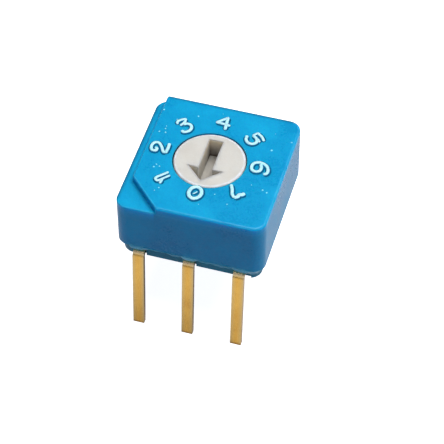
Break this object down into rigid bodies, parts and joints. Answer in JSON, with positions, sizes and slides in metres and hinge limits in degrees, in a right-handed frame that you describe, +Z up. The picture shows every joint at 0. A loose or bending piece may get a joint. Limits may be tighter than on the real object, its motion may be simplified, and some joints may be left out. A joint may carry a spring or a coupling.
{
  "type": "rotary coded switch",
  "caption": "Subminiature square rotary coded switch with a screwdriver arrow rotor, eight detented positions and five through-hole leads in two rows.",
  "frame": {"origin": "on the rotor's axis, at the underside of the base, which seats on the board", "axes": "+Z up along the rotor's axis, +X along the rows of leads to the right, -Y to the front, where the arrow points at zero"},
  "size_m": [0.0074, 0.0084, 0.0084],
  "materials": {
    "housing_plastic": "moulded cyan-blue plastic, satin",
    "base_plastic": "moulded blue plastic, satin",
    "sealing_resin": "cured sealing resin, glossy and slightly uneven",
    "seal_rubber": "black rubber",
    "rotor_plastic": "warm white moulded plastic",
    "gold_plate": "thin gold plating on copper alloy, satin",
    "spring_steel": "bright spring strip"
  },
  "bodies": {
    "case": {"housing": "housing_plastic", "o_ring": "seal_rubber", "click_spring_left": "spring_steel", "click_spring_right": "spring_steel", "contact_spring_1": "gold_plate", "contact_spring_2": "gold_plate", "contact_spring_4": "gold_plate", "contact_spring_common": "gold_plate", "terminal_1": "gold_plate", "terminal_2": "gold_plate", "terminal_4": "gold_plate", "terminal_common": "gold_plate", "base": "base_plastic", "sealing_bead": "sealing_resin"},
    "rotor": {"rotor": "rotor_plastic", "code_disc": "gold_plate"}
  },
  "joints": [
    {"name": "rotor_turn", "type": "hinge", "parent": "case", "child": "rotor", "pos_m": [0, 0, 0], "axis": [0, 0, 1], "continuous": true, "deforming": ["click_spring_left", "click_spring_right"]}
  ]
}
